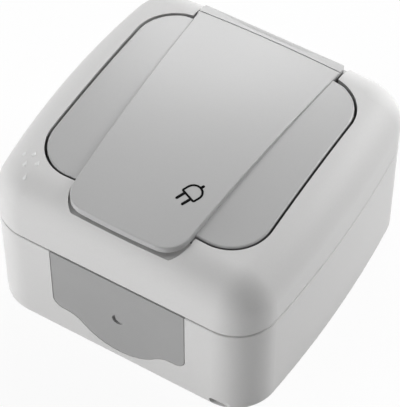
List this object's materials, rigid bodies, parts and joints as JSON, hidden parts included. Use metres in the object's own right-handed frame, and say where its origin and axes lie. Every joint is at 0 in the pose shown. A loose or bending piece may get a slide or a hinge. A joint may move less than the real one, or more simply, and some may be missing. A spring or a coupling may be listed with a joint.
{
  "type": "outdoor weatherproof socket",
  "caption": "Surface-mounted outdoor socket outlet: cushion-shaped casing with a rubber cable entry and a sprung, sealed lid over a round earthed plug recess.",
  "frame": {"origin": "centre of the back face, on the wall plane", "axes": "+Z out of the wall, +Y up the wall to the lid hinge, -Y to the cable entry, +X to the right"},
  "size_m": [0.072, 0.072, 0.046],
  "materials": {
    "casing_plastic": "fine matte light grey",
    "lid_plastic": "satin mid grey",
    "membrane_rubber": "soft matte grey",
    "seal_rubber": "matte black",
    "screw_steel": "zinc plated",
    "spring_steel": "bright drawn wire",
    "well_plastic": "satin light grey",
    "block_plastic": "matte off-white",
    "contact_brass": "bright stamped"
  },
  "bodies": {
    "box": {"base_box": "casing_plastic", "front_cover": "casing_plastic", "screw_seals": "seal_rubber", "cable_membrane": "membrane_rubber", "base_seal": "seal_rubber", "well_seal": "seal_rubber", "cover_screws": "screw_steel", "well_screw": "screw_steel", "block_screws": "screw_steel", "terminal_screws": "screw_steel", "terminal_plates": "screw_steel", "hinge_pin": "screw_steel", "lid_spring": "spring_steel", "socket_well": "well_plastic", "contact_block": "block_plastic", "live_contact": "contact_brass", "neutral_contact": "contact_brass", "earth_strap": "contact_brass"},
    "lid": {"lid": "lid_plastic", "lid_gasket": "seal_rubber"}
  },
  "joints": [
    {"name": "lid_hinge", "type": "hinge", "parent": "box", "child": "lid", "pos_m": [0, 0.0301, 0.04002], "axis": [-1, 0, 0], "range_deg": [0, 100], "stiffness_Nm_per_rad": 0.02, "springref_deg": -68.75, "deforming": ["lid_spring"]}
  ]
}
